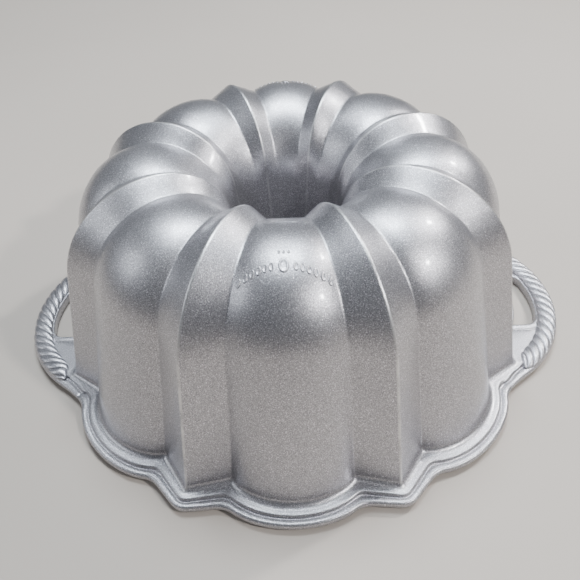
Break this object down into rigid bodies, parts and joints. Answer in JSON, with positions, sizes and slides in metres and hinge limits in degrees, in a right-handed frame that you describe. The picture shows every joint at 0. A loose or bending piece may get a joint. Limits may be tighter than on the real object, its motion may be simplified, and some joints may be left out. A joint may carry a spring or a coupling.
{
  "type": "bundt pan",
  "caption": "Deep fluted ring-cake pan in cast aluminium with a centre tube, a stepped scalloped rim and rope-twist loop handles, standing upside down.",
  "frame": {"origin": "centre of the rim plane, on the axis of the centre tube; the pan stands upside down on its rim", "axes": "+Z from the rim up to the crown, +X through the right handle, -Y towards the front, where a rounded lobe faces"},
  "size_m": [0.3124, 0.275, 0.1158],
  "materials": {
    "silver_coat": "satin silver bakeware coat on cast aluminium, with a fine metallic sparkle",
    "dark_nonstick": "dark grey nonstick coating, low sheen"
  },
  "bodies": {
    "root": {"side_wall": "silver_coat", "crown": "silver_coat", "centre_tube": "silver_coat", "rim_flange": "silver_coat", "handle_right": "silver_coat", "handle_left": "silver_coat", "nonstick_lining": "dark_nonstick"}
  },
  "joints": []
}
